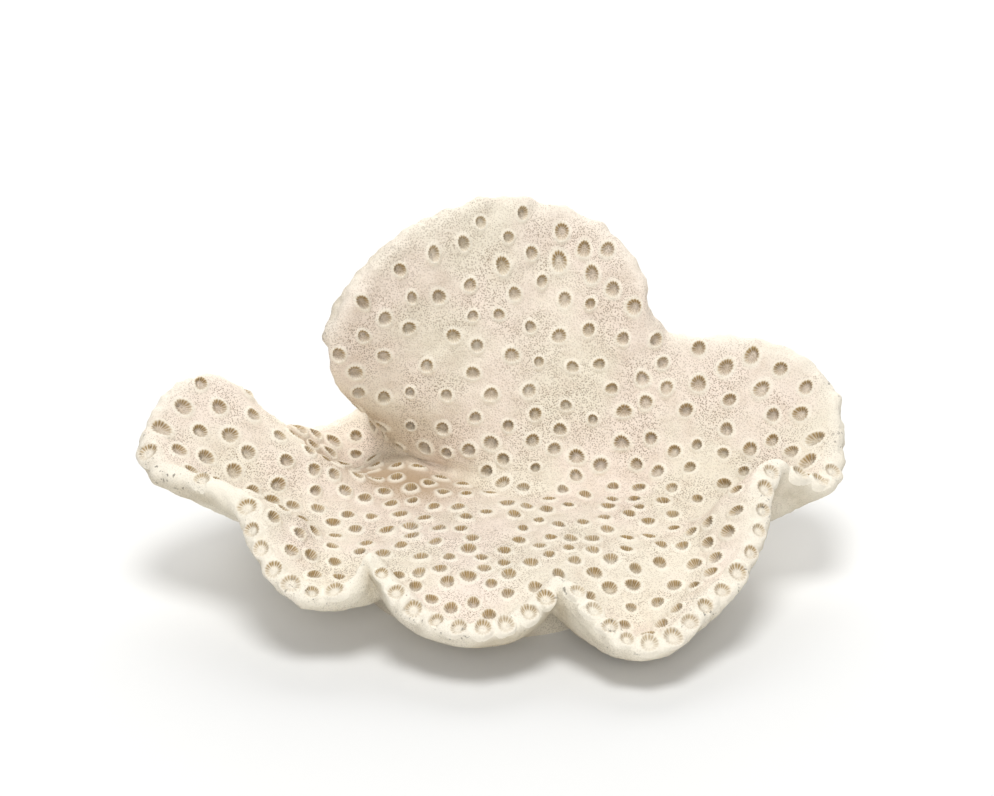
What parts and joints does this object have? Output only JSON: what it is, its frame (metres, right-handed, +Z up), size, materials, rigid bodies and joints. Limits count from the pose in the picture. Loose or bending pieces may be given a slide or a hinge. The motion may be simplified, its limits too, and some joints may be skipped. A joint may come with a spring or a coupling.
{
  "type": "cup coral",
  "caption": "Dried cup coral skeleton: a shallow folded dish with wavy lobes, a tall back lobe and small round calices over its upper side.",
  "frame": {"origin": "middle of the bounding box's bottom face, on the plane of the flat cut under the foot", "axes": "+Z up, +X to the right lobe, +Y from the front of the dish to the tall lobe at the back"},
  "size_m": [0.1548, 0.101, 0.0732],
  "materials": {
    "coral": "matte, porous"
  },
  "bodies": {
    "root": {"coral": "coral"}
  },
  "joints": []
}
